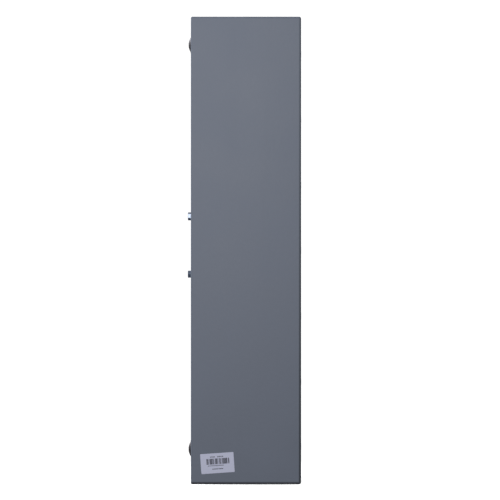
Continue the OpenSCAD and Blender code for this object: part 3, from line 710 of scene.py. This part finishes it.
def stage():
    """A pale floor whose edge fades into the white background."""
    radius, fade_start, fade_end = 4, 0.25, 0.9
    bm = bmesh.new()
    bmesh.ops.create_circle(bm, cap_ends=True, segments=96, radius=radius)
    mesh = bpy.data.meshes.new("floor")
    bm.to_mesh(mesh)
    bm.free()
    floor = bpy.data.objects.new("floor", mesh)
    bpy.context.scene.collection.objects.link(floor)
    floor.location = (0, (LOW.y + FACE_LOW.y) / 2, LOW.z)
    s = Shader("pale_floor")
    s.set(Base_Color=(0.8, 0.8, 0.8, 1), Roughness=0.9)
    s.set(Emission_Color=(1, 1, 1, 1), Emission_Strength=0.5)
    clear = s.add("ShaderNodeBsdfTransparent")
    away = s.add("ShaderNodeVectorMath")
    away.operation = "LENGTH"
    s.put(away, 0, s.coord)
    mixer = s.add("ShaderNodeMixShader")
    s.put(mixer, 0, s.ramp(away.outputs["Value"], fade_start, fade_end))
    s.put(mixer, 1, s.bsdf.outputs[0])
    s.put(mixer, 2, clear.outputs[0])
    s.tree.links.new(mixer.outputs[0], s.tree.nodes["Material Output"].inputs["Surface"])
    mesh.materials.append(s.mat)
    floor.visible_diffuse = False
    floor.visible_glossy = False


def background(seen, lit, toward):
    """White behind the object; the light that it sheds is weaker and mostly from one way."""
    world = bpy.data.worlds.new("studio")
    bpy.context.scene.world = world
    world.use_nodes = True
    tree = world.node_tree
    shade = tree.nodes["Background"]
    shade.inputs["Color"].default_value = (1, 1, 1, 1)
    way = tree.nodes.new("ShaderNodeVectorMath")
    way.operation = "DOT_PRODUCT"
    way.inputs[1].default_value = Vector(toward).normalized()
    tree.links.new(tree.nodes.new("ShaderNodeTexCoord").outputs["Generated"], way.inputs[0])
    soft = tree.nodes.new("ShaderNodeMapRange")
    spread, least = 0.7, 0.02
    for key, value in (("From Min", -spread), ("From Max", spread), ("To Min", least),
                       ("To Max", lit)):
        soft.inputs[key].default_value = value
    tree.links.new(way.outputs["Value"], soft.inputs["Value"])
    path = tree.nodes.new("ShaderNodeLightPath")
    strength = tree.nodes.new("ShaderNodeMapRange")
    strength.inputs["To Max"].default_value = seen
    tree.links.new(soft.outputs["Result"], strength.inputs["To Min"])
    tree.links.new(path.outputs["Is Camera Ray"], strength.inputs["Value"])
    tree.links.new(strength.outputs["Result"], shade.inputs["Strength"])


def area_light(name, spot, size, power, color=(1, 1, 1), target=(0, -0.05, 0)):
    light = bpy.data.lights.new(name, "AREA")
    light.shape = "RECTANGLE"
    light.size, light.size_y = size
    light.energy = power
    light.color = color
    obj = bpy.data.objects.new(name, light)
    bpy.context.scene.collection.objects.link(obj)
    obj.location = spot
    obj.rotation_euler = (Vector(target) - Vector(spot)).to_track_quat("-Z", "Y").to_euler()
    obj.visible_camera = False


def camera():
    """Level, straight onto the right side wall, far away as with a long lens."""
    distance, sensor = 10.0, 36
    wall_share, aside, above = 0.9354, 0.0036, 0.0004
    seen_height = (HIGH.z - LOW.z) / wall_share
    aim_y = (SIDE_LOW.y + HIGH.y) / 2 + aside
    lens = bpy.data.cameras.new("camera")
    lens.sensor_width = sensor
    lens.lens = sensor * distance / seen_height
    obj = bpy.data.objects.new("camera", lens)
    bpy.context.scene.collection.objects.link(obj)
    obj.location = (SIDE_HIGH.x + distance, aim_y, above)
    obj.rotation_euler = (math.radians(90), 0, math.radians(90))
    bpy.context.scene.camera = obj


stage()
background(seen=1.1, lit=0.36, toward=(0, -0.8, 0.6))
# The key light is near the top of the wall, so that the wall darkens downwards
area_light("key", spot=(SIDE_HIGH.x + 0.92, -0.14, 0.27), size=(0.6, 0.6), power=5.6,
           color=(1.0, 0.99, 0.98), target=(SIDE_HIGH.x, -0.06, 0.19))
area_light("front", spot=(-1.5, -2.1, 1.4), size=(1.5, 1.2), power=120, color=(0.95, 0.97, 1.0))
area_light("edge", spot=(1.2, -1.6, 1.2), size=(0.3, 0.3), power=5.5, color=(0.80, 0.92, 1.0))
area_light("back", spot=(-2.8, 1.4, 1.4), size=(1.4, 1.2), power=130)
camera()
bpy.context.scene.view_settings.view_transform = "Standard"
